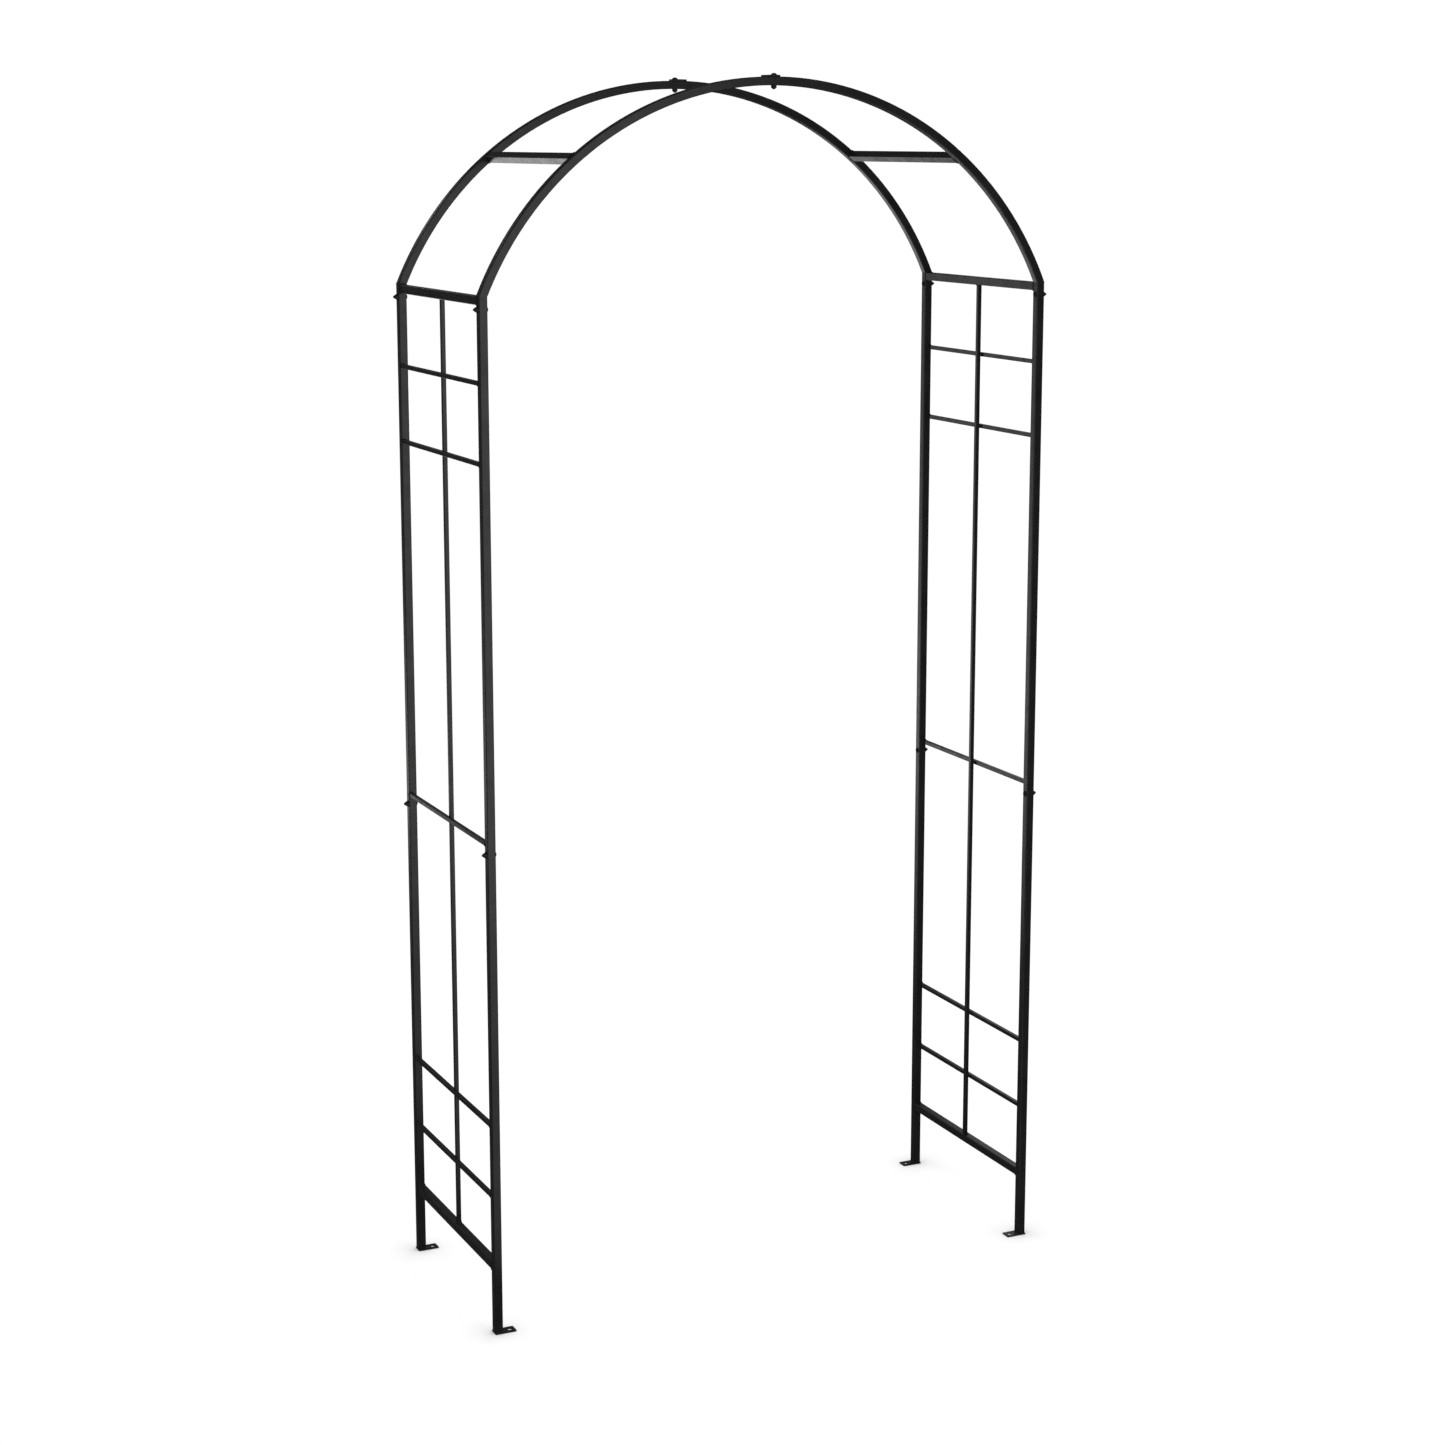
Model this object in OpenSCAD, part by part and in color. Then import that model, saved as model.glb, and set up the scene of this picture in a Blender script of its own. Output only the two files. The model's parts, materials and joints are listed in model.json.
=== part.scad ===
// Metal trellis arch: two welded panels on each side, stacked and bolted, carry two bolted
// half-arches. X runs across the walkway, Y along it, Z up from the ground.

/* [Frame] */
// Distance between the left and right post centres, across the walkway
post_spacing_x = 1148; // [900:4:1300]
// Distance between the front and back post centres, along the walkway
post_spacing_y = 444; // [300:4:600]
// Height of the seam between the lower and upper panels, above the ground
seam_z = 957; // [900:1:1050]
// Height of the post tops, where the half-arches plug in
post_top_z = 1952; // [1850:1:2100]
// Rise of the arch centre line above the post tops
arch_rise = 378; // [320:1:440]

/* [Tube and bar] */
// Outer width of the square tube
tube_w = 16; // [14:0.5:18]
// Wall thickness of the square tube
tube_wall = 1; // [0.8:0.1:1.2]
// Outer corner radius of the square tube
tube_corner_r = 1.5; // [1.3:0.1:2]
// Width of the thin square bars
bar_w = 8; // [6:0.5:9]
// Corner radius of the thin square bars
bar_corner_r = 0.7; // [0.3:0.1:1]

/* [Trellis grid] */
// Height of the bottom rail's centre line
bottom_rail_z = 133; // [100:1:160]
// Pitch of the two rows of bars above the bottom rail
lower_row_pitch = 139; // [110:1:160]
// Drop from the post tops to the first thin bar's centre line
upper_first_drop = 155; // [120:1:180]
// Pitch from the first to the second upper thin bar
upper_row_pitch = 145; // [110:1:160]
// Angle of the arch rungs away from the top of the arch
rung_angle = 39; // [25:1:50]

/* [Joints between the panels] */
// Length of a spigot inside the tube it is welded into
spigot_weld_length = 40; // [25:1:60]
// Length of a spigot that plugs into the tube below
spigot_plug_length = 60; // [45:1:80]
// Clearance between a spigot and the bore it plugs into, on each side
spigot_gap = 0.2; // [0.1:0.05:0.3]
// Distance from the end of a post down to its bolt
bolt_drop = 23.5; // [20:0.5:30]
// Distance from the apex bolt to the end of the tongue
tongue_nose = 9; // [8:1:20]
// Distance from the apex bolt to the butt joint of the arch tubes
tongue_lap = 9; // [8:1:16]
// Length of the tongue that is welded to its own arch tube
tongue_tail = 13; // [10:1:30]
// Thickness of the tongue
tongue_thickness = 3; // [2:0.5:4]

/* [Feet] */
// Length of a foot plate, across the walkway
foot_length = 42; // [36:1:60]
// Width of a foot plate
foot_width = 22; // [18:1:30]
// Thickness of a foot plate
foot_thickness = 2.5; // [2:0.5:4]
// Corner radius of a foot plate
foot_corner_r = 0.8; // [0.5:0.1:2]
// Diameter of the ground-stake hole in a foot plate
foot_hole_d = 10; // [7:0.5:11]
// Distance from the hole's centre to the plate's free end
foot_hole_inset = 10; // [8:0.5:12]

/* [Fasteners] */
// Shank diameter of the bolts
bolt_d = 6; // [5:0.5:6]
// Diameter of the bolt holes
bolt_hole_d = 6.6; // [6.5:0.1:7]
// Diameter of the domed bolt heads
bolt_head_d = 12; // [10:0.5:13]
// Height of the domed bolt heads
bolt_head_h = 3.6; // [2.5:0.1:4]
// Width across flats of the hexagon sockets and nuts
nut_flats = 10; // [9:0.5:11]
// Height of the plain hexagon nuts
nut_h = 5; // [4:0.1:6]
// Diameter of the cap nuts' flange
cap_flange_d = 13; // [11:0.5:14]
// Height of the cap nuts, from flange to tip
cap_h = 8.5; // [7.5:0.1:10]

/* [Hidden] */
$fn = 48;

half_x = post_spacing_x / 2;
half_y = post_spacing_y / 2;
half_tube = tube_w / 2;
bore_w = tube_w - 2 * tube_wall;
bar_reach = post_spacing_y - tube_w;
// The bars lie outside the post centre plane and the rods inside it, face against face.
bar_offset = bar_w / 2;

// The arch's centre line passes through the post axes at the post tops.
arch_r = (arch_rise * arch_rise + half_x * half_x) / (2 * arch_rise);
arch_z = post_top_z + arch_rise - arch_r;
arch_start = acos((post_top_z - arch_z) / arch_r);
lap_angle = asin(tongue_lap / arch_r);
nose_angle = asin(tongue_nose / arch_r);
tail_angle = asin((tongue_lap + tongue_tail) / arch_r);

low_bar_1_z = bottom_rail_z + 2 * lower_row_pitch;
low_bar_2_z = bottom_rail_z + lower_row_pitch;
middle_bar_z = seam_z - bar_w / 2;
high_bar_1_z = post_top_z - upper_first_drop;
high_bar_2_z = high_bar_1_z - upper_row_pitch;
top_rail_z = post_top_z - half_tube;
post_bolt_zs = [seam_z - bolt_drop, post_top_z - bolt_drop];
spigot_w = bore_w - 2 * spigot_gap;
spigot_wall = 1.2;
spigot_corner_r = 0.8;
apex_top_z = post_top_z + arch_rise + half_tube + tongue_thickness;

// How far a panel bolt's thread reaches past the post, and an apex bolt's past its nut.
bolt_thread_out = 5;
apex_thread_out = 2;
bolt_chamfer = 0.6;
socket_flats = 4;
socket_depth = 2;
cap_flange_h = 1.2;
cap_tip_d = 3.4;
nut_bore_gap = 0.1;
// The tube's underside curves away from the nut by this little.
nut_seat_gap = 0.05;

steel = [0.13, 0.13, 0.14];
dark_steel = [0.09, 0.09, 0.1];
zinc_black = [0.2, 0.2, 0.22];

// A rectangle with round corners, of true arcs.
module rounded_rectangle(w, h, r) {
    square([w - 2 * r, h], center = true);
    square([w, h - 2 * r], center = true);
    for (x = [-1, 1], y = [-1, 1])
        translate([x * (w / 2 - r), y * (h / 2 - r)]) circle(r);
}

// The section of the square tube.
module tube_section() {
    difference() {
        rounded_rectangle(tube_w, tube_w, tube_corner_r);
        rounded_rectangle(bore_w, bore_w, tube_corner_r - tube_wall);
    }
}

module bar_section() {
    rounded_rectangle(bar_w, bar_w, bar_corner_r);
}

module spigot_section() {
    difference() {
        rounded_rectangle(spigot_w, spigot_w, spigot_corner_r);
        square(spigot_w - 2 * spigot_wall, center = true);
    }
}

// A hole along X for a panel bolt, at the place and height given.
module bolt_hole_x(x, y, z) {
    translate([x - tube_w, y, z]) rotate([0, 90, 0])
        cylinder(h = 2 * tube_w, d = bolt_hole_d);
}

// A vertical post on side sx, at the front (sy = -1) or the back (sy = 1).
module post(sx, sy, z0, z1) {
    difference() {
        translate([sx * half_x, sy * half_y, z0]) linear_extrude(z1 - z0) tube_section();
        for (z = post_bolt_zs) bolt_hole_x(sx * half_x, sy * half_y, z);
    }
}

module lower_post(sx, sy) {
    color(steel) post(sx, sy, foot_thickness, seam_z);
}

module upper_post(sx, sy) {
    color(steel) post(sx, sy, seam_z, post_top_z);
}

// A horizontal tube between the front and back posts of one side.
module rail(sx, z) {
    color(steel) translate([sx * half_x, bar_reach / 2, z]) rotate([90, 0, 0])
        linear_extrude(bar_reach) tube_section();
}

// A horizontal thin bar between the front and back posts of one side.
module bar(sx, z) {
    color(steel) translate([sx * (half_x + bar_offset), bar_reach / 2, z]) rotate([90, 0, 0])
        linear_extrude(bar_reach) bar_section();
}

// The upright thin rod in the middle of a panel.
module rod(sx, z0, z1) {
    color(steel) translate([sx * (half_x - bar_offset), 0, z0])
        linear_extrude(z1 - z0) bar_section();
}

// The foot plate under a post, its free end towards the walkway.
module foot(sx, sy) {
    outer_x = half_x + half_tube;
    color(dark_steel) difference() {
        translate([sx * (outer_x - foot_length / 2), sy * half_y, 0])
            linear_extrude(foot_thickness)
                rounded_rectangle(foot_length, foot_width, foot_corner_r);
        translate([sx * (outer_x - foot_length + foot_hole_inset), sy * half_y, -1])
            cylinder(h = foot_thickness + 2, d = foot_hole_d);
    }
}

// A straight spigot across the seam at z_seam: welded in above it, plugged into the post below.
module spigot(sx, sy, z_seam, weld_length) {
    difference() {
        translate([sx * half_x, sy * half_y, z_seam - spigot_plug_length])
            linear_extrude(spigot_plug_length + weld_length) spigot_section();
        bolt_hole_x(sx * half_x, sy * half_y, z_seam - bolt_drop);
    }
}

module post_spigot(sx, sy) {
    color(dark_steel) spigot(sx, sy, seam_z, spigot_weld_length);
}

// Turns a profile drawn at radius arch_r into a piece of arch, from angle a0 to a1 away from
// the apex, positive towards +X, at depth y.
module arch_sweep(y, a0, a1) {
    translate([0, y, arch_z]) rotate([90, 0, 0]) rotate([0, 0, 90 - a1])
        rotate_extrude(angle = a1 - a0, $fn = 360) children();
}

// A quarter-arch tube on side sx, in row sy, cut level at the post top. The two tubes of a row
// butt together beside the apex bolt, on the side of the half that carries the row's tongue.
module arch_tube(sx, sy) {
    butt_angle = sy * lap_angle;
    foot_angle = sx * (arch_start + 2);
    color(steel) difference() {
        intersection() {
            arch_sweep(sy * half_y, min(butt_angle, foot_angle), max(butt_angle, foot_angle))
                translate([arch_r, 0]) tube_section();
            translate([-2 * half_x, sy * half_y - tube_w, post_top_z])
                cube([4 * half_x, 2 * tube_w, 2 * arch_rise]);
        }
        if (sx != sy) apex_hole(sy);
    }
}

// The vertical hole for the apex bolt of row sy.
module apex_hole(sy) {
    translate([0, sy * half_y, post_top_z]) cylinder(h = 2 * arch_rise, d = bolt_hole_d);
}

// The bent spigot of a half-arch: a straight leg that plugs into the post, and a leg that
// follows the arch tube's bore.
module arch_spigot(sx, sy) {
    leg_angle = spigot_weld_length / arch_r * 180 / PI;
    inner = sx * (arch_start - leg_angle);
    outer = sx * (arch_start + 2);
    color(dark_steel) {
        spigot(sx, sy, post_top_z, 0);
        intersection() {
            arch_sweep(sy * half_y, min(inner, outer), max(inner, outer))
                translate([arch_r, 0]) spigot_section();
            translate([-2 * half_x, sy * half_y - tube_w, post_top_z])
                cube([4 * half_x, 2 * tube_w, arch_rise]);
        }
    }
}

// The tube that ties the front and back arch tubes of a half-arch together.
module arch_rung(sx) {
    a = sx * rung_angle;
    color(steel) translate([arch_r * sin(a), bar_reach / 2, arch_z + arch_r * cos(a)])
        rotate([0, a, 0]) rotate([90, 0, 0]) linear_extrude(bar_reach) tube_section();
}

// The tongue on top of the tubes: welded to its own half-arch, bolted to the other one. The
// left half carries the front tongue and the right half the back one.
module arch_tongue(sx) {
    color(dark_steel) difference() {
        arch_sweep(sx * half_y, sx > 0 ? -nose_angle : -tail_angle,
                   sx > 0 ? tail_angle : nose_angle)
            translate([arch_r + half_tube + tongue_thickness / 2, 0])
                square([tongue_thickness, tube_w], center = true);
        apex_hole(sx);
    }
}

// A bolt whose head stands on the XY plane and whose shank runs down.
module bolt(shank_length) {
    dome_r = (bolt_head_h * bolt_head_h + bolt_head_d * bolt_head_d / 4) / (2 * bolt_head_h);
    difference() {
        intersection() {
            translate([0, 0, bolt_head_h - dome_r]) sphere(dome_r);
            cylinder(h = bolt_head_h, d = bolt_head_d);
        }
        translate([0, 0, bolt_head_h - socket_depth])
            cylinder(h = bolt_head_h, d = socket_flats / cos(30), $fn = 6);
    }
    translate([0, 0, -shank_length + bolt_chamfer])
        cylinder(h = shank_length - bolt_chamfer, d = bolt_d);
    translate([0, 0, -shank_length])
        cylinder(h = bolt_chamfer, d1 = bolt_d - 2 * bolt_chamfer, d2 = bolt_d);
}

// A cap nut with a flange and a blunt cone, standing on the XY plane, its thread below.
module cap_nut() {
    difference() {
        union() {
            cylinder(h = cap_flange_h, d = cap_flange_d);
            intersection() {
                cylinder(h = cap_h, d1 = cap_flange_d + 1, d2 = cap_tip_d);
                cylinder(h = cap_h, d = nut_flats / cos(30), $fn = 6);
            }
        }
        translate([0, 0, -1]) cylinder(h = bolt_thread_out + 1.5, d = bolt_d + nut_bore_gap);
    }
}

// A plain hexagon nut with bevelled corners, hanging from the XY plane.
module hex_nut() {
    difference() {
        intersection() {
            translate([0, 0, -nut_h]) cylinder(h = nut_h, d = nut_flats / cos(30), $fn = 6);
            translate([0, 0, -nut_h])
                cylinder(h = nut_h, d1 = nut_flats - 0.4, d2 = nut_flats + 6);
        }
        translate([0, 0, -nut_h - 1]) cylinder(h = nut_h + 2, d = bolt_d + nut_bore_gap);
    }
}

// The four bolts of one side, their domed heads towards the walkway.
module panel_bolts(sx) {
    color(zinc_black) for (sy = [-1, 1], z = post_bolt_zs)
        translate([sx * (half_x - half_tube), sy * half_y, z]) rotate([0, -90 * sx, 0])
            bolt(tube_w + bolt_thread_out);
}

// The four cap nuts of one side, on the outer faces of the posts.
module cap_nuts(sx) {
    color(zinc_black) for (sy = [-1, 1], z = post_bolt_zs)
        translate([sx * (half_x + half_tube), sy * half_y, z]) rotate([0, 90 * sx, 0])
            cap_nut();
}

module apex_bolts() {
    color(zinc_black) for (sy = [-1, 1])
        translate([0, sy * half_y, apex_top_z])
            bolt(tongue_thickness + tube_w + nut_seat_gap + nut_h + apex_thread_out);
}

module apex_nuts() {
    color(zinc_black) for (sy = [-1, 1])
        translate([0, sy * half_y, apex_top_z - tongue_thickness - tube_w - nut_seat_gap])
            hex_nut();
}

lower_post(-1, -1);  // left_front_lower_post
lower_post(-1, 1);  // left_back_lower_post
upper_post(-1, -1);  // left_front_upper_post
upper_post(-1, 1);  // left_back_upper_post
rail(-1, bottom_rail_z);  // left_bottom_rail
bar(-1, low_bar_1_z);  // left_low_bar_1
bar(-1, low_bar_2_z);  // left_low_bar_2
bar(-1, middle_bar_z);  // left_middle_bar
bar(-1, high_bar_1_z);  // left_high_bar_1
bar(-1, high_bar_2_z);  // left_high_bar_2
rail(-1, top_rail_z);  // left_top_rail
rod(-1, bottom_rail_z + half_tube, seam_z);  // left_lower_rod
rod(-1, seam_z, top_rail_z - half_tube);  // left_upper_rod
foot(-1, -1);  // left_front_foot
foot(-1, 1);  // left_back_foot
post_spigot(-1, -1);  // left_front_post_spigot
post_spigot(-1, 1);  // left_back_post_spigot
arch_spigot(-1, -1);  // left_front_arch_spigot
arch_spigot(-1, 1);  // left_back_arch_spigot
arch_tube(-1, -1);  // left_front_arch_tube
arch_tube(-1, 1);  // left_back_arch_tube
arch_rung(-1);  // left_arch_rung
arch_tongue(-1);  // left_arch_tongue
panel_bolts(-1);  // left_panel_bolts
cap_nuts(-1);  // left_cap_nuts
lower_post(1, -1);  // right_front_lower_post
lower_post(1, 1);  // right_back_lower_post
upper_post(1, -1);  // right_front_upper_post
upper_post(1, 1);  // right_back_upper_post
rail(1, bottom_rail_z);  // right_bottom_rail
bar(1, low_bar_1_z);  // right_low_bar_1
bar(1, low_bar_2_z);  // right_low_bar_2
bar(1, middle_bar_z);  // right_middle_bar
bar(1, high_bar_1_z);  // right_high_bar_1
bar(1, high_bar_2_z);  // right_high_bar_2
rail(1, top_rail_z);  // right_top_rail
rod(1, bottom_rail_z + half_tube, seam_z);  // right_lower_rod
rod(1, seam_z, top_rail_z - half_tube);  // right_upper_rod
foot(1, -1);  // right_front_foot
foot(1, 1);  // right_back_foot
post_spigot(1, -1);  // right_front_post_spigot
post_spigot(1, 1);  // right_back_post_spigot
arch_spigot(1, -1);  // right_front_arch_spigot
arch_spigot(1, 1);  // right_back_arch_spigot
arch_tube(1, -1);  // right_front_arch_tube
arch_tube(1, 1);  // right_back_arch_tube
arch_rung(1);  // right_arch_rung
arch_tongue(1);  // right_arch_tongue
panel_bolts(1);  // right_panel_bolts
cap_nuts(1);  // right_cap_nuts
apex_bolts();
apex_nuts();
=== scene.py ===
"""Looks of the metal trellis arch: powder coat, weld beads, bolt threads, floor, light, camera."""
import json
import math

import bmesh
import bpy
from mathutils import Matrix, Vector, noise


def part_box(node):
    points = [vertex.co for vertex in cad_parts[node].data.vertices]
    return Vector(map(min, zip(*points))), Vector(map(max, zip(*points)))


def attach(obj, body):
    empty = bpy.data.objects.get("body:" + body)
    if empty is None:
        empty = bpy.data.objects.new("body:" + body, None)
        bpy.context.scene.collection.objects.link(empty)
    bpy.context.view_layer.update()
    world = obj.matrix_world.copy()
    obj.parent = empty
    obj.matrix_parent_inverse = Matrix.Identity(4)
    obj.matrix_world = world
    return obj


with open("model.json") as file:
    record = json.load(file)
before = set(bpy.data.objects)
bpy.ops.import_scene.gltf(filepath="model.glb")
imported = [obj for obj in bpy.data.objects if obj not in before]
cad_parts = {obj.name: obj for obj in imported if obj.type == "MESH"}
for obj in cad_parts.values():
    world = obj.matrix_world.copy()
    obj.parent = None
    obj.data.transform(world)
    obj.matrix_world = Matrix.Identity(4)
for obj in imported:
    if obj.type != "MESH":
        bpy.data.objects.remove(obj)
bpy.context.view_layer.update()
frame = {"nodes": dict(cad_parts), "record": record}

MM = 0.001
X = Vector((1, 0, 0))
Y = Vector((0, 1, 0))
Z = Vector((0, 0, 1))
SIDES = ("left", "right")
ROWS = ("front", "back")

# Half widths of a tube and a thin bar, a rung's box, and the height of the tube's axis at the top.
post_low, post_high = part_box("left_front_lower_post")
tube_half = (post_high.x - post_low.x) / 2
bar_low, bar_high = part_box("left_low_bar_1")
bar_half = (bar_high.x - bar_low.x) / 2
rung_low, rung_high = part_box("right_arch_rung")
arch_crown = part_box("left_back_arch_tube")[1].z - tube_half


# ---------------------------------------------------------------- camera

# Angles in degrees, distances in metres, lens and sensor in millimetres.
CAMERA_AZIMUTH = -25.05
CAMERA_DISTANCE = 5.394
CAMERA_HEIGHT = 2.23
CAMERA_PITCH = 10.47
CAMERA_LENS = 69.27
CAMERA_SENSOR = 36
CAMERA_SHIFT = -0.05
CAMERA_REACH = 200


def make_camera():
    """A camera on the front left of the arch, above head height, that faces its upright axis."""
    data = bpy.data.cameras.new("camera")
    data.lens = CAMERA_LENS
    data.sensor_width = CAMERA_SENSOR
    data.shift_y = CAMERA_SHIFT
    data.clip_end = CAMERA_REACH
    camera = bpy.data.objects.new("camera", data)
    azimuth = math.radians(CAMERA_AZIMUTH)
    pitch = math.radians(CAMERA_PITCH)
    camera.location = (
        CAMERA_DISTANCE * math.sin(azimuth),
        -CAMERA_DISTANCE * math.cos(azimuth),
        CAMERA_HEIGHT,
    )
    camera.rotation_euler = (math.pi / 2 - pitch, 0, azimuth)
    bpy.context.scene.collection.objects.link(camera)
    bpy.context.scene.camera = camera


# ---------------------------------------------------------------- light

WHITE = (1, 1, 1)
WARM_WHITE = (1.0, 0.96, 0.92)

# Strengths of the white world as soft fill, where the metal mirrors it, and behind the arch.
FILL_STRENGTH = 0.9
MIRRORED_STRENGTH = 0.05
BACKDROP_STRENGTH = 1.02


def softbox(name, place, aim, width, height, radiance, colour=WHITE):
    """An area light of even brightness that the camera doesn't see, facing along aim."""
    data = bpy.data.lights.new(name, "AREA")
    data.shape = "RECTANGLE"
    data.size = width
    data.size_y = height
    data.energy = radiance * math.pi * width * height
    data.color = colour
    light = bpy.data.objects.new(name, data)
    light.location = place
    light.rotation_euler = Vector(aim).to_track_quat("-Z", "Y").to_euler()
    light.visible_camera = False
    bpy.context.scene.collection.objects.link(light)


def make_softboxes():
    """Four upright softboxes round the arch."""
    softbox("key_softbox", place=(0.35, -2.5, 1.4), aim=(-0.1, 1, 0),
            width=1.1, height=2.6, radiance=1.08)
    softbox("back_softbox", place=(-0.51, 1.8, 1.3), aim=(0.5, -1, 0),
            width=0.45, height=2.6, radiance=0.8)
    softbox("rear_right_softbox", place=(2.3, 1.9, 1.3), aim=(-1, -0.8, 0),
            width=1.2, height=2.4, radiance=0.4)
    softbox("front_left_softbox", place=(-2.3, -1.7, 1.3), aim=(1, 0.8, 0),
            width=1.6, height=2.4, radiance=0.5)


def make_sweep():
    """The parts of the studio's white wall and floor that the metal mirrors."""
    softbox("sweep_wall", place=(10.0, 20.0, 1.8), aim=(0, -1, 0),
            width=19.0, height=3.4, radiance=0.45)
    softbox("sweep_floor_back", place=(-0.4, 5.2, 0.02), aim=(0, 0, 1),
            width=3.2, height=3.4, radiance=1.15, colour=WARM_WHITE)
    softbox("sweep_floor_front", place=(0.1, -1.9, 0.02), aim=(0, 0, 1),
            width=1.2, height=2.8, radiance=0.5)


def white_background(tree, strength):
    """The output of a white background shader of the given strength."""
    background = tree.nodes.new("ShaderNodeBackground")
    background.inputs["Color"].default_value = (*WHITE, 1)
    background.inputs["Strength"].default_value = strength
    return background.outputs[0]


def make_world():
    """White to the camera and as soft fill, and dim grey where the metal mirrors it."""
    world = bpy.data.worlds.new("studio")
    world.use_nodes = True
    bpy.context.scene.world = world
    tree = world.node_tree
    tree.nodes.clear()
    path = tree.nodes.new("ShaderNodeLightPath")
    shade = white_background(tree, FILL_STRENGTH)
    rays = (("Is Glossy Ray", MIRRORED_STRENGTH), ("Is Camera Ray", BACKDROP_STRENGTH))
    for ray, strength in rays:
        mix = tree.nodes.new("ShaderNodeMixShader")
        tree.links.new(path.outputs[ray], mix.inputs[0])
        tree.links.new(shade, mix.inputs[1])
        tree.links.new(white_background(tree, strength), mix.inputs[2])
        shade = mix.outputs[0]
    out = tree.nodes.new("ShaderNodeOutputWorld")
    tree.links.new(shade, out.inputs["Surface"])


# ---------------------------------------------------------------- floor

FLOOR_RADIUS = 60
FLOOR_CORNERS = 96
FLOOR_GREY = 0.45
FLOOR_ROUGHNESS = 0.9
FLOOR_GLOW = 0.605

# The painted soft shadow round each foot, which darkens the floor's glow: how far it reaches in
# metres, and how deep it is.
PAINTED_SHADOW_REACH = 0.07
PAINTED_SHADOW_DEPTH = 1.5
PAINTED_SHADOW_SAMPLES = 4


def pale_floor():
    """A matt pale floor with a glow that is darkened close to the feet as a painted shadow."""
    material = bpy.data.materials.new("pale_floor")
    material.use_nodes = True
    tree = material.node_tree
    shader = tree.nodes["Principled BSDF"]
    shader.inputs["Base Color"].default_value = (FLOOR_GREY, FLOOR_GREY, FLOOR_GREY, 1)
    shader.inputs["Roughness"].default_value = FLOOR_ROUGHNESS
    shader.inputs["Specular IOR Level"].default_value = 0.0
    shader.inputs["Emission Strength"].default_value = FLOOR_GLOW
    # Painted shadow: ambient occlusion near the feet darkens the floor's glow.
    painted_shadow_ao = tree.nodes.new("ShaderNodeAmbientOcclusion")
    painted_shadow_ao.samples = PAINTED_SHADOW_SAMPLES
    painted_shadow_ao.inputs["Distance"].default_value = PAINTED_SHADOW_REACH
    painted_shadow_power = tree.nodes.new("ShaderNodeMath")
    painted_shadow_power.operation = "POWER"
    painted_shadow_power.inputs[1].default_value = PAINTED_SHADOW_DEPTH
    tree.links.new(painted_shadow_ao.outputs["AO"], painted_shadow_power.inputs[0])
    tree.links.new(painted_shadow_power.outputs[0], shader.inputs["Emission Color"])
    return material


def make_floor():
    """A wide round pale floor that shows only the soft shadows of the feet, painted into its glow.
    """
    mesh = bpy.data.meshes.new("floor")
    bm = bmesh.new()
    bmesh.ops.create_circle(bm, cap_ends=True, segments=FLOOR_CORNERS, radius=FLOOR_RADIUS)
    bm.to_mesh(mesh)
    bm.free()
    mesh.materials.append(pale_floor())
    floor = bpy.data.objects.new("floor", mesh)
    floor.visible_glossy = False
    floor.visible_diffuse = False
    bpy.context.scene.collection.objects.link(floor)


# ---------------------------------------------------------------- material nodes

NOISE_ROUGHNESS = 0.55

# The dot product of the true and the rounded-off normal on a flat and on a sharp edge.
EDGE_FLAT = 0.97
EDGE_SHARP = 0.8
EDGE_SAMPLES = 4

# How far up a face must look to hold its first dust, and to hold all of it.
DUST_FROM = 0.6
DUST_FULL = 1.0

# The two colour inputs of a mix node and its colour output.
MIX_A = 6
MIX_B = 7
MIX_RESULT = 2


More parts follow.
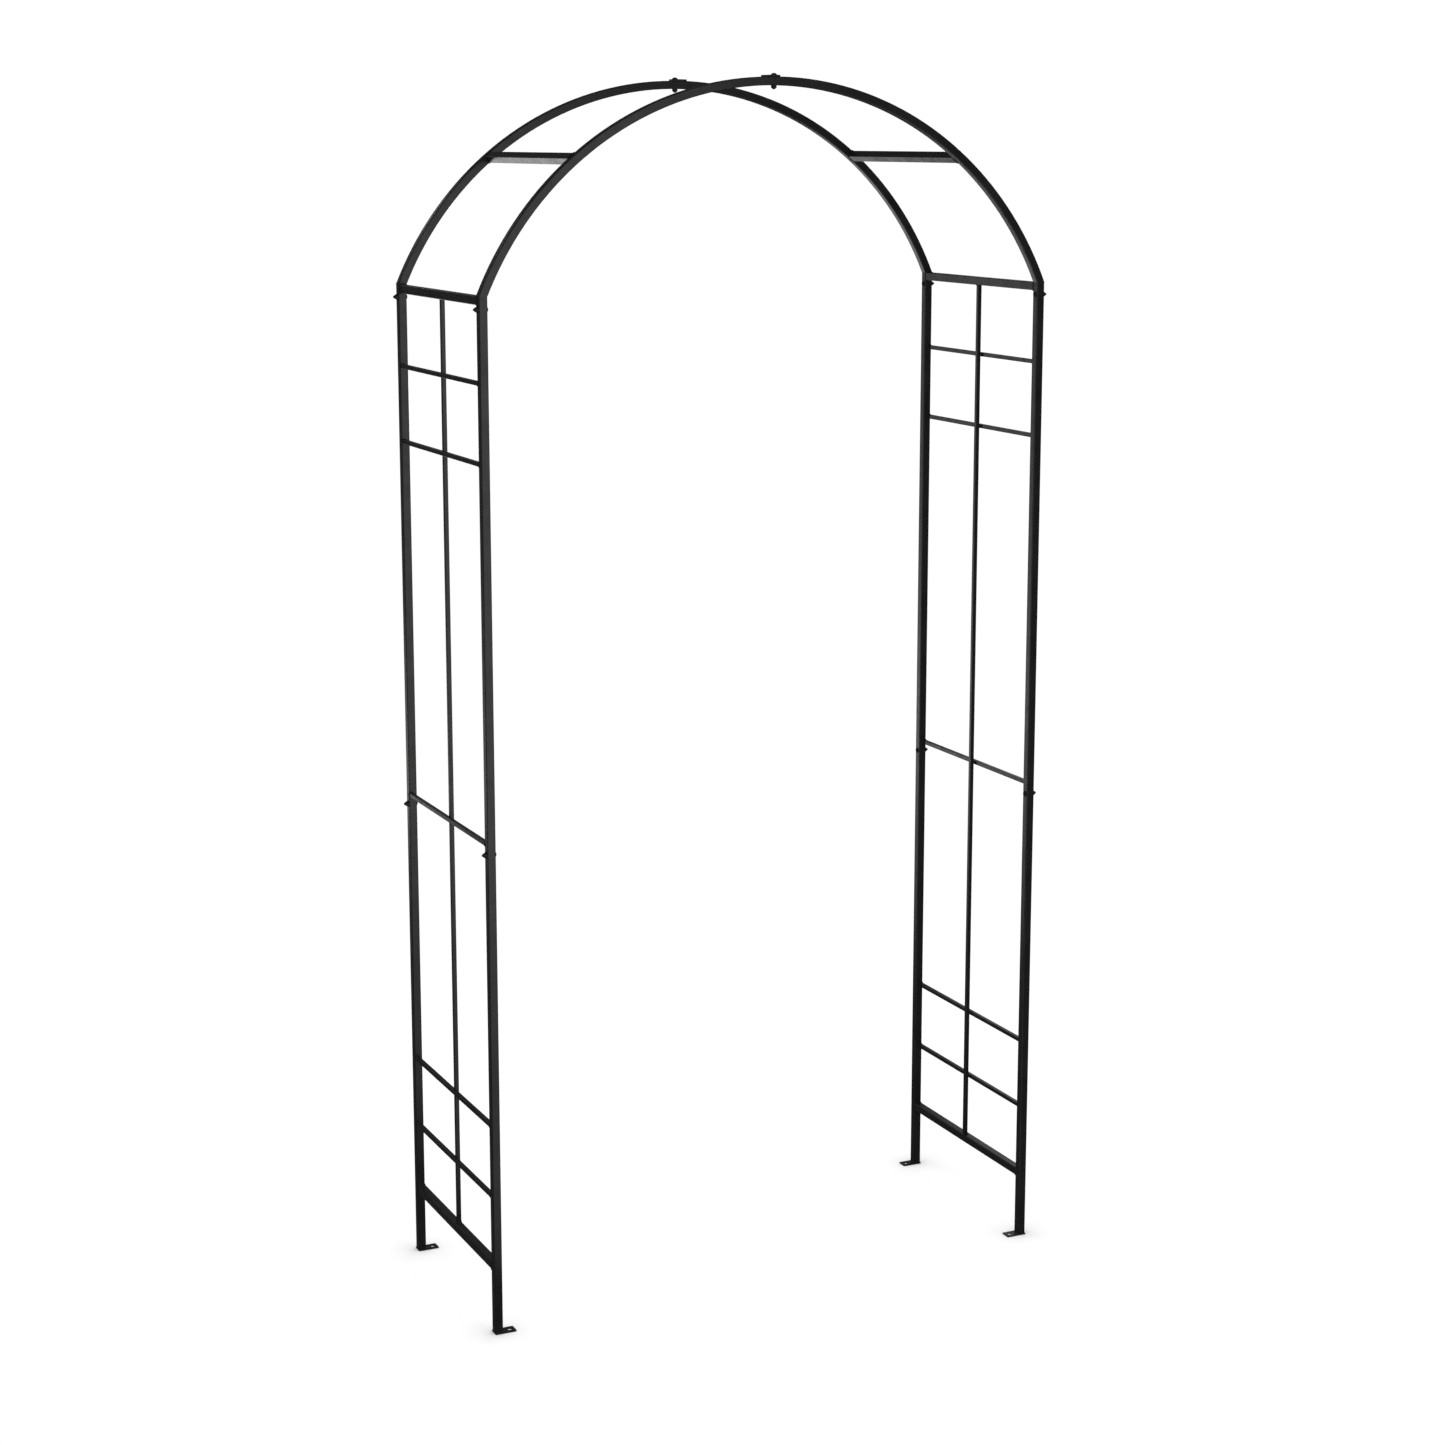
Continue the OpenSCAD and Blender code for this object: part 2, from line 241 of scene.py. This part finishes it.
class Nodes:
    """A material's node tree, with short ways to add and join its nodes."""

    def __init__(self, name):
        self.material = bpy.data.materials.new(name)
        self.material.use_nodes = True
        self.tree = self.material.node_tree
        self.shader = self.tree.nodes["Principled BSDF"]
        self.place = self.tree.nodes.new("ShaderNodeTexCoord").outputs["Object"]

    def add(self, kind, **settings):
        """A new node with the given settings."""
        node = self.tree.nodes.new(kind)
        for key, value in settings.items():
            setattr(node, key, value)
        return node

    def join(self, output, socket):
        """Links an output to an input."""
        self.tree.links.new(output, socket)

    def noise(self, scale, detail):
        """Noise fixed to the piece; a higher scale is finer."""
        node = self.add("ShaderNodeTexNoise")
        node.inputs["Scale"].default_value = scale
        node.inputs["Detail"].default_value = detail
        node.inputs["Roughness"].default_value = NOISE_ROUGHNESS
        self.join(self.place, node.inputs["Vector"])
        return node.outputs["Fac"]

    def ranged(self, value, low, high, to_low=0.0, to_high=1.0):
        """Stretches a value from low..high to to_low..to_high, and clamps it there."""
        node = self.add("ShaderNodeMapRange")
        node.inputs["From Min"].default_value = low
        node.inputs["From Max"].default_value = high
        node.inputs["To Min"].default_value = to_low
        node.inputs["To Max"].default_value = to_high
        self.join(value, node.inputs["Value"])
        return node.outputs["Result"]

    def times(self, a, b):
        """The product of two outputs."""
        node = self.add("ShaderNodeMath", operation="MULTIPLY")
        self.join(a, node.inputs[0])
        self.join(b, node.inputs[1])
        return node.outputs[0]

    def mixed(self, factor, a, b):
        """Colour a where factor is 0 and b where it is 1; either may be a colour or an output."""
        node = self.add("ShaderNodeMix", data_type="RGBA")
        self.join(factor, node.inputs["Factor"])
        for socket, value in ((node.inputs[MIX_A], a), (node.inputs[MIX_B], b)):
            if isinstance(value, tuple):
                socket.default_value = (*value, 1)
            else:
                self.join(value, socket)
        return node.outputs[MIX_RESULT]

    def edge_mask(self, radius):
        """1 on the sharp outer edges of a piece and 0 on its flats."""
        bevel = self.add("ShaderNodeBevel", samples=EDGE_SAMPLES)
        bevel.inputs["Radius"].default_value = radius
        geometry = self.add("ShaderNodeNewGeometry")
        dot = self.add("ShaderNodeVectorMath", operation="DOT_PRODUCT")
        self.join(bevel.outputs["Normal"], dot.inputs[0])
        self.join(geometry.outputs["Normal"], dot.inputs[1])
        return self.ranged(dot.outputs["Value"], EDGE_FLAT, EDGE_SHARP)

    def top_mask(self):
        """1 on faces that look up, where dust settles, and 0 elsewhere."""
        geometry = self.add("ShaderNodeNewGeometry")
        split = self.add("ShaderNodeSeparateXYZ")
        self.join(geometry.outputs["Normal"], split.inputs[0])
        return self.ranged(split.outputs["Z"], DUST_FROM, DUST_FULL)

    def bump(self, height, distance, below=None):
        """The normal of a relief of the given depth, laid over the one below it."""
        node = self.add("ShaderNodeBump")
        node.inputs["Strength"].default_value = 1.0
        node.inputs["Distance"].default_value = distance
        self.join(height, node.inputs["Height"])
        if below is not None:
            self.join(below, node.inputs["Normal"])
        return node.outputs["Normal"]


# ---------------------------------------------------------------- materials

# Powder coat: its colours, the noise scales of its patches and skin, and its gloss.
COAT_DARK = (0.0046, 0.0046, 0.0048)
COAT_LIGHT = (0.009, 0.0088, 0.0085)
COAT_DUST = (0.013, 0.0127, 0.0124)
# The rubbed edges' colour is worn paint and also a painted edge highlight.
COAT_WEAR_HIGHLIGHT = (0.034, 0.034, 0.035)
COAT_CLOUDS = 14
COAT_DUST_PATCHES = 60
COAT_WEAR_HIGHLIGHT_PATCHES = 55
COAT_GLOSS_PATCHES = 45
COAT_PEEL = 620
COAT_SPECKS = 900
COAT_SPECK_SHARE = 0.35
COAT_WEAR_HIGHLIGHT_WIDTH = 1.1 * MM
COAT_IOR = 1.5
COAT_VARNISH = 0.12
COAT_VARNISH_ROUGHNESS = 0.28

# Black steel: the same for the fasteners.
STEEL_DARK = (0.009, 0.009, 0.0095)
STEEL_LIGHT = (0.015, 0.015, 0.016)
STEEL_WORN = (0.07, 0.068, 0.066)
STEEL_CLOUDS = 300
STEEL_WORN_PATCHES = 900
STEEL_GLOSS_PATCHES = 500
STEEL_BRUSHING = 1500
STEEL_BRUSHING_DEPTH = 0.02 * MM
STEEL_WORN_WIDTH = 0.6 * MM
STEEL_METALLIC = 0.35


def coat_colour(n):
    """Mottled black, with dust on top faces and thin rubbed edges that are lighter as worn paint
    and as a painted edge highlight.
    """
    clouds = n.ranged(n.noise(COAT_CLOUDS, detail=4), low=0.32, high=0.68)
    tone = n.mixed(clouds, COAT_DARK, COAT_LIGHT)
    patches = n.ranged(n.noise(COAT_DUST_PATCHES, detail=5), low=0.35, high=0.75,
                       to_low=0.1, to_high=0.6)
    tone = n.mixed(n.times(n.top_mask(), patches), tone, COAT_DUST)
    # Worn paint and painted highlight: the sharp edges are lightened in patches.
    rubs = n.ranged(n.noise(COAT_WEAR_HIGHLIGHT_PATCHES, detail=4), low=0.4, high=0.66)
    return n.mixed(n.times(n.edge_mask(COAT_WEAR_HIGHLIGHT_WIDTH), rubs), tone, COAT_WEAR_HIGHLIGHT)


def powder_coat(name, rough_low, rough_high, peel):
    """Black powder coat with an orange-peel skin of the given depth and patchy gloss."""
    n = Nodes(name)
    n.join(coat_colour(n), n.shader.inputs["Base Color"])
    gloss = n.ranged(n.noise(COAT_GLOSS_PATCHES, detail=4), low=0.3, high=0.7,
                     to_low=rough_low, to_high=rough_high)
    n.join(gloss, n.shader.inputs["Roughness"])
    skin = n.bump(n.noise(COAT_PEEL, detail=2), peel)
    specks = n.bump(n.noise(COAT_SPECKS, detail=2), peel * COAT_SPECK_SHARE, below=skin)
    n.join(specks, n.shader.inputs["Normal"])
    n.shader.inputs["IOR"].default_value = COAT_IOR
    n.shader.inputs["Coat Weight"].default_value = COAT_VARNISH
    n.shader.inputs["Coat Roughness"].default_value = COAT_VARNISH_ROUGHNESS
    return n.material


def black_steel(name):
    """Black oxide on a fastener: metallic, finely brushed, bright where a spanner has rubbed."""
    n = Nodes(name)
    clouds = n.ranged(n.noise(STEEL_CLOUDS, detail=4), low=0.35, high=0.65)
    tone = n.mixed(clouds, STEEL_DARK, STEEL_LIGHT)
    rubs = n.ranged(n.noise(STEEL_WORN_PATCHES, detail=3), low=0.4, high=0.6)
    wear = n.times(n.edge_mask(STEEL_WORN_WIDTH), rubs)
    n.join(n.mixed(wear, tone, STEEL_WORN), n.shader.inputs["Base Color"])
    gloss = n.ranged(n.noise(STEEL_GLOSS_PATCHES, detail=3), low=0.3, high=0.7,
                     to_low=0.28, to_high=0.42)
    n.join(gloss, n.shader.inputs["Roughness"])
    brushing = n.bump(n.noise(STEEL_BRUSHING, detail=2), STEEL_BRUSHING_DEPTH)
    n.join(brushing, n.shader.inputs["Normal"])
    n.shader.inputs["Metallic"].default_value = STEEL_METALLIC
    return n.material


def make_finishes():
    """One material for each material slot of the record."""
    return {
        "tubes": powder_coat("tube_powder_coat", rough_low=0.24, rough_high=0.34,
                             peel=0.032 * MM),
        "thin_bars": powder_coat("bar_powder_coat", rough_low=0.24, rough_high=0.34,
                                 peel=0.028 * MM),
        "plates": powder_coat("plate_powder_coat", rough_low=0.28, rough_high=0.4,
                              peel=0.036 * MM),
        "spigots": powder_coat("spigot_powder_coat", rough_low=0.28, rough_high=0.42,
                               peel=0.02 * MM),
        "fasteners": black_steel("fastener_black_steel"),
    }


# How much the sharp edges of each slot's pieces are rounded, and the angle that counts as sharp.
EASING = {
    "tubes": 0.3 * MM,
    "thin_bars": 0.25 * MM,
    "plates": 0.35 * MM,
    "spigots": 0.2 * MM,
    "fasteners": 0.2 * MM,
}
EASING_STEPS = 2
SHARP_ANGLE = 50


def dress_cad_nodes(finishes):
    """Gives each CAD node the material of its slot and eases its sharp edges."""
    for part in frame["record"]["subparts"]:
        node = frame["nodes"][part["node"]]
        slot = part["material_slot"]
        node.data.materials.clear()
        node.data.materials.append(finishes[slot])
        bevel = node.modifiers.new("eased_edges", "BEVEL")
        bevel.width = EASING[slot]
        bevel.segments = EASING_STEPS
        bevel.limit_method = "ANGLE"
        bevel.angle_limit = math.radians(SHARP_ANGLE)


# ---------------------------------------------------------------- mesh helpers

def skin(bm, rings, closed):
    """Faces between rings of corners in a row; an open row gets a face at each end too."""
    following = rings[1:] + rings[:1] if closed else rings[1:]
    for a, b in zip(rings, following):
        for k in range(len(a)):
            m = (k + 1) % len(a)
            bm.faces.new((a[k], a[m], b[m], b[k]))
    if not closed:
        bm.faces.new(rings[0][::-1])
        bm.faces.new(rings[-1])


def piece(name, bm, material, smooth=True):
    """Turns a bmesh into a piece that rides on the frame."""
    bmesh.ops.recalc_face_normals(bm, faces=bm.faces)
    mesh = bpy.data.meshes.new(name)
    bm.to_mesh(mesh)
    bm.free()
    mesh.polygons.foreach_set("use_smooth", [smooth] * len(mesh.polygons))
    mesh.materials.append(material)
    obj = bpy.data.objects.new(name, mesh)
    bpy.context.scene.collection.objects.link(obj)
    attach(obj, "root")


# ---------------------------------------------------------------- weld beads

# Corner radii of the sections that the beads go round, and the beads' own radii.
TUBE_CORNER = 1.5 * MM
BAR_CORNER = 0.7 * MM
TUBE_BEAD = 1.5 * MM
BAR_BEAD = 1.15 * MM
TONGUE_BEAD = 0.7 * BAR_BEAD

# The steps along and round a bead, and round a section's corner.
BEAD_STEP = 0.7 * MM
BEAD_MIN_STEPS = 4
BEAD_SIDES = 8
CORNER_STEPS = 4
TONGUE_STEPS = 20

# A bead's surface: ripples of the weld pool and slow lumps, as shares of its radius.
BEAD_BODY = 0.86
RIPPLE_SHARE = 0.16
RIPPLE_LENGTH = 2.2 * MM
LUMP_SHARE = 0.22
LUMP_SCALE = 400

# An open bead thins over a third of its length at each end, down to this share.
TAPER_LENGTHS = 3.0
TAPER_END = 0.15

# The edge beads of a tongue stop at this share of its tail's distance from the middle.
TONGUE_BEAD_STOP = 0.5


def bead_share(point, travelled):
    """The thickness of a bead at a point, as a share of its radius."""
    ripple = abs(math.sin(math.pi * travelled / RIPPLE_LENGTH))
    lump = noise.noise(point * LUMP_SCALE)
    return BEAD_BODY + RIPPLE_SHARE * ripple + LUMP_SHARE * lump


def taper_share(i, count):
    """How thin an open bead is at point i of its path."""
    from_end = min(i, count - 1 - i)
    return max(TAPER_END, math.sqrt(min(1.0, TAPER_LENGTHS * from_end / count)))


def bead(bm, points, normal, radius, closed):
    """A rippled bead along a flat path. normal is the path's plane; open ends taper off."""
    rings = []
    travelled = 0.0
    count = len(points)
    for i, point in enumerate(points):
        before = points[i - 1] if closed or i > 0 else point
        after = points[(i + 1) % count] if closed or i < count - 1 else point
        across = normal.cross((after - before).normalized())
        if i > 0:
            travelled += (point - points[i - 1]).length
        size = radius * bead_share(point, travelled)
        if not closed:
            size *= taper_share(i, count)
        ring = []
        for k in range(BEAD_SIDES):
            turn = 2 * math.pi * k / BEAD_SIDES
            out = math.cos(turn) * across + math.sin(turn) * normal
            ring.append(bm.verts.new(point + size * out))
        rings.append(ring)
    skin(bm, rings, closed)


def line(start, end):
    """Points along a straight line, about a bead step apart."""
    steps = max(BEAD_MIN_STEPS, round((end - start).length / BEAD_STEP))
    return [start.lerp(end, i / steps) for i in range(steps + 1)]


def section_loop(centre, u, v, half_u, half_v, corner):
    """Points round a rectangle with round corners, in the plane of u and v."""

    def on_corner(sign_u, sign_v, degrees):
        middle = centre + u * sign_u * (half_u - corner) + v * sign_v * (half_v - corner)
        turn = math.radians(degrees)
        return middle + corner * (math.cos(turn) * u + math.sin(turn) * v)

    corners = ((1, 1, 0), (-1, 1, 90), (-1, -1, 180), (1, -1, 270))
    points = []
    for (sign_u, sign_v, start), following in zip(corners, corners[1:] + corners[:1]):
        for step in range(CORNER_STEPS + 1):
            points.append(on_corner(sign_u, sign_v, start + 90 / CORNER_STEPS * step))
        points += line(points[-1], on_corner(*following))[1:-1]
    return points


def end_beads(bm, node, radius, corner):
    """Beads round both ends of a rail or bar, where it meets the posts' faces."""
    low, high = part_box(node)
    middle = (low + high) / 2
    half_x = (high.x - low.x) / 2
    half_z = (high.z - low.z) / 2
    for end in (low.y, high.y):
        loop = section_loop(Vector((middle.x, end, middle.z)), X, Z, half_x, half_z, corner)
        bead(bm, loop, Y, radius, closed=True)


def rod_end_bead(bm, node, at_top):
    """A bead round the end of an upright rod, on the rail that it stands on or hangs from."""
    low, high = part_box(node)
    centre = Vector(((low.x + high.x) / 2, 0, high.z if at_top else low.z))
    loop = section_loop(centre, X, Y, bar_half, bar_half, BAR_CORNER)
    bead(bm, loop, Z, BAR_BEAD, closed=True)


def crossing_beads(bm, bar, rod):
    """Two tacks where an upright rod lies against the inner face of a thin bar."""
    low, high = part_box(bar)
    rod_low, rod_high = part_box(rod)
    plane = low.x if low.x > 0 else high.x
    bottom = max(low.z, rod_low.z)
    top = min(high.z, rod_high.z)
    for edge in (rod_low.y, rod_high.y):
        path = line(Vector((plane, edge, bottom)), Vector((plane, edge, top)))
        bead(bm, path, X, BAR_BEAD, closed=False)


def foot_bead(bm, side, row):
    """A bead round the three sides of a post that stand inside its foot plate."""
    low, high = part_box(f"{side}_{row}_lower_post")
    outer, inner = (low.x, high.x) if side == "left" else (high.x, low.x)
    places = ((outer, low.y), (inner, low.y), (inner, high.y), (outer, high.y))
    corners = [Vector((x, y, low.z)) for x, y in places]
    path = corners[:1]
    for start, end in zip(corners, corners[1:]):
        path += line(start, end)[1:]
    bead(bm, path, Z, TUBE_BEAD, closed=False)


def arch_centre():
    """Height of the arch's centre, from its crown and from a rung, which both lie on it."""
    rung = (rung_low + rung_high) / 2
    return (rung.x**2 + rung.z**2 - arch_crown**2) / (2 * (rung.z - arch_crown))


def rung_beads(bm, side, centre_z):
    """Beads round both ends of a rung, whose section leans with the arch."""
    low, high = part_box(f"{side}_arch_rung")
    middle = (low + high) / 2
    out = Vector((middle.x, 0, middle.z - centre_z)).normalized()
    along = Y.cross(out)
    for end in (low.y, high.y):
        centre = Vector((middle.x, end, middle.z))
        loop = section_loop(centre, along, out, tube_half, tube_half, TUBE_CORNER)
        bead(bm, loop, Y, TUBE_BEAD, closed=True)


def tongue_beads(bm, side, centre_z):
    """Beads along both edges and across the tail of a tongue, on its own arch tube."""
    low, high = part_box(f"{side}_arch_tongue")
    tail = low.x if side == "left" else high.x
    reach = tail * TONGUE_BEAD_STOP - tail
    radius = arch_crown - centre_z + tube_half

    def on_tube(x, y):
        return Vector((x, y, centre_z + math.sqrt(radius**2 - x**2)))

    for y in (low.y, high.y):
        steps = range(TONGUE_STEPS + 1)
        path = [on_tube(tail + reach * i / TONGUE_STEPS, y) for i in steps]
        bead(bm, path, Y, TONGUE_BEAD, closed=False)
    path = line(on_tube(tail, low.y), on_tube(tail, high.y))
    bead(bm, path, Z, BAR_BEAD, closed=False)


def lower_panel_welds(side, material):
    """The welds of a lower panel: rail, thin bars, rod and the posts' feet."""
    bm = bmesh.new()
    end_beads(bm, f"{side}_bottom_rail", TUBE_BEAD, TUBE_CORNER)
    for bar in ("low_bar_1", "low_bar_2", "middle_bar"):
        end_beads(bm, f"{side}_{bar}", BAR_BEAD, BAR_CORNER)
        crossing_beads(bm, f"{side}_{bar}", f"{side}_lower_rod")
    rod_end_bead(bm, f"{side}_lower_rod", at_top=False)
    for row in ROWS:
        foot_bead(bm, side, row)
    piece(f"{side}_lower_panel_welds", bm, material)


def upper_panel_welds(side, material):
    """The welds of an upper panel: rail, thin bars and rod."""
    bm = bmesh.new()
    end_beads(bm, f"{side}_top_rail", TUBE_BEAD, TUBE_CORNER)
    for bar in ("high_bar_1", "high_bar_2"):
        end_beads(bm, f"{side}_{bar}", BAR_BEAD, BAR_CORNER)
        crossing_beads(bm, f"{side}_{bar}", f"{side}_upper_rod")
    rod_end_bead(bm, f"{side}_upper_rod", at_top=True)
    piece(f"{side}_upper_panel_welds", bm, material)


def half_arch_welds(side, material):
    """The welds of one half of the round top: rung and tongue."""
    bm = bmesh.new()
    centre_z = arch_centre()
    rung_beads(bm, side, centre_z)
    tongue_beads(bm, side, centre_z)
    piece(f"{side}_half_arch_welds", bm, material)


# ---------------------------------------------------------------- bolt threads

BOLT_RADIUS = 3 * MM
BOLT_HEAD_RADIUS = 6 * MM
THREAD_PITCH = 1 * MM
THREAD_STEPS = 32

# The ridge: how far its foot lies inside the shank, its crest outside, and half its width.
THREAD_FOOT = 0.1 * MM
THREAD_CREST = 0.225 * MM
THREAD_HALF_WIDTH = 0.42 * THREAD_PITCH

# Where it starts above the bolt's end, and the turns left out of the bolt's free length.
THREAD_START = 0.35 * MM
THREAD_TURNS_SHORT = 0.4


def thread(bm, y, bottom, turns):
    """A ridge of triangular section that winds up round a bolt at y."""
    rings = []
    for i in range(int(turns * THREAD_STEPS) + 1):
        turn = 2 * math.pi * i / THREAD_STEPS
        out = Vector((math.cos(turn), math.sin(turn), 0))
        axis = Vector((0, y, bottom + THREAD_PITCH * i / THREAD_STEPS))
        foot = axis + out * (BOLT_RADIUS - THREAD_FOOT)
        rings.append([
            bm.verts.new(foot - Z * THREAD_HALF_WIDTH),
            bm.verts.new(axis + out * (BOLT_RADIUS + THREAD_CREST)),
            bm.verts.new(foot + Z * THREAD_HALF_WIDTH),
        ])
    skin(bm, rings, closed=False)


def make_threads(material):
    """The screw threads on the short ends of the apex bolts, below their nuts."""
    nut_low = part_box("apex_nuts")[0]
    bolt_low, bolt_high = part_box("apex_bolts")
    turns = (nut_low.z - bolt_low.z) / THREAD_PITCH - THREAD_TURNS_SHORT
    bm = bmesh.new()
    for y in (bolt_low.y + BOLT_HEAD_RADIUS, bolt_high.y - BOLT_HEAD_RADIUS):
        thread(bm, y, bolt_low.z + THREAD_START, turns)
    piece("apex_bolt_threads", bm, material, smooth=False)


# ---------------------------------------------------------------- the scene

make_camera()
make_softboxes()
make_sweep()
make_world()
make_floor()
finishes = make_finishes()
dress_cad_nodes(finishes)
for side in SIDES:
    lower_panel_welds(side, finishes["tubes"])
    upper_panel_welds(side, finishes["tubes"])
    half_arch_welds(side, finishes["tubes"])
make_threads(finishes["fasteners"])
bpy.context.scene.view_settings.view_transform = "Standard"
bpy.context.scene.view_settings.look = "None"
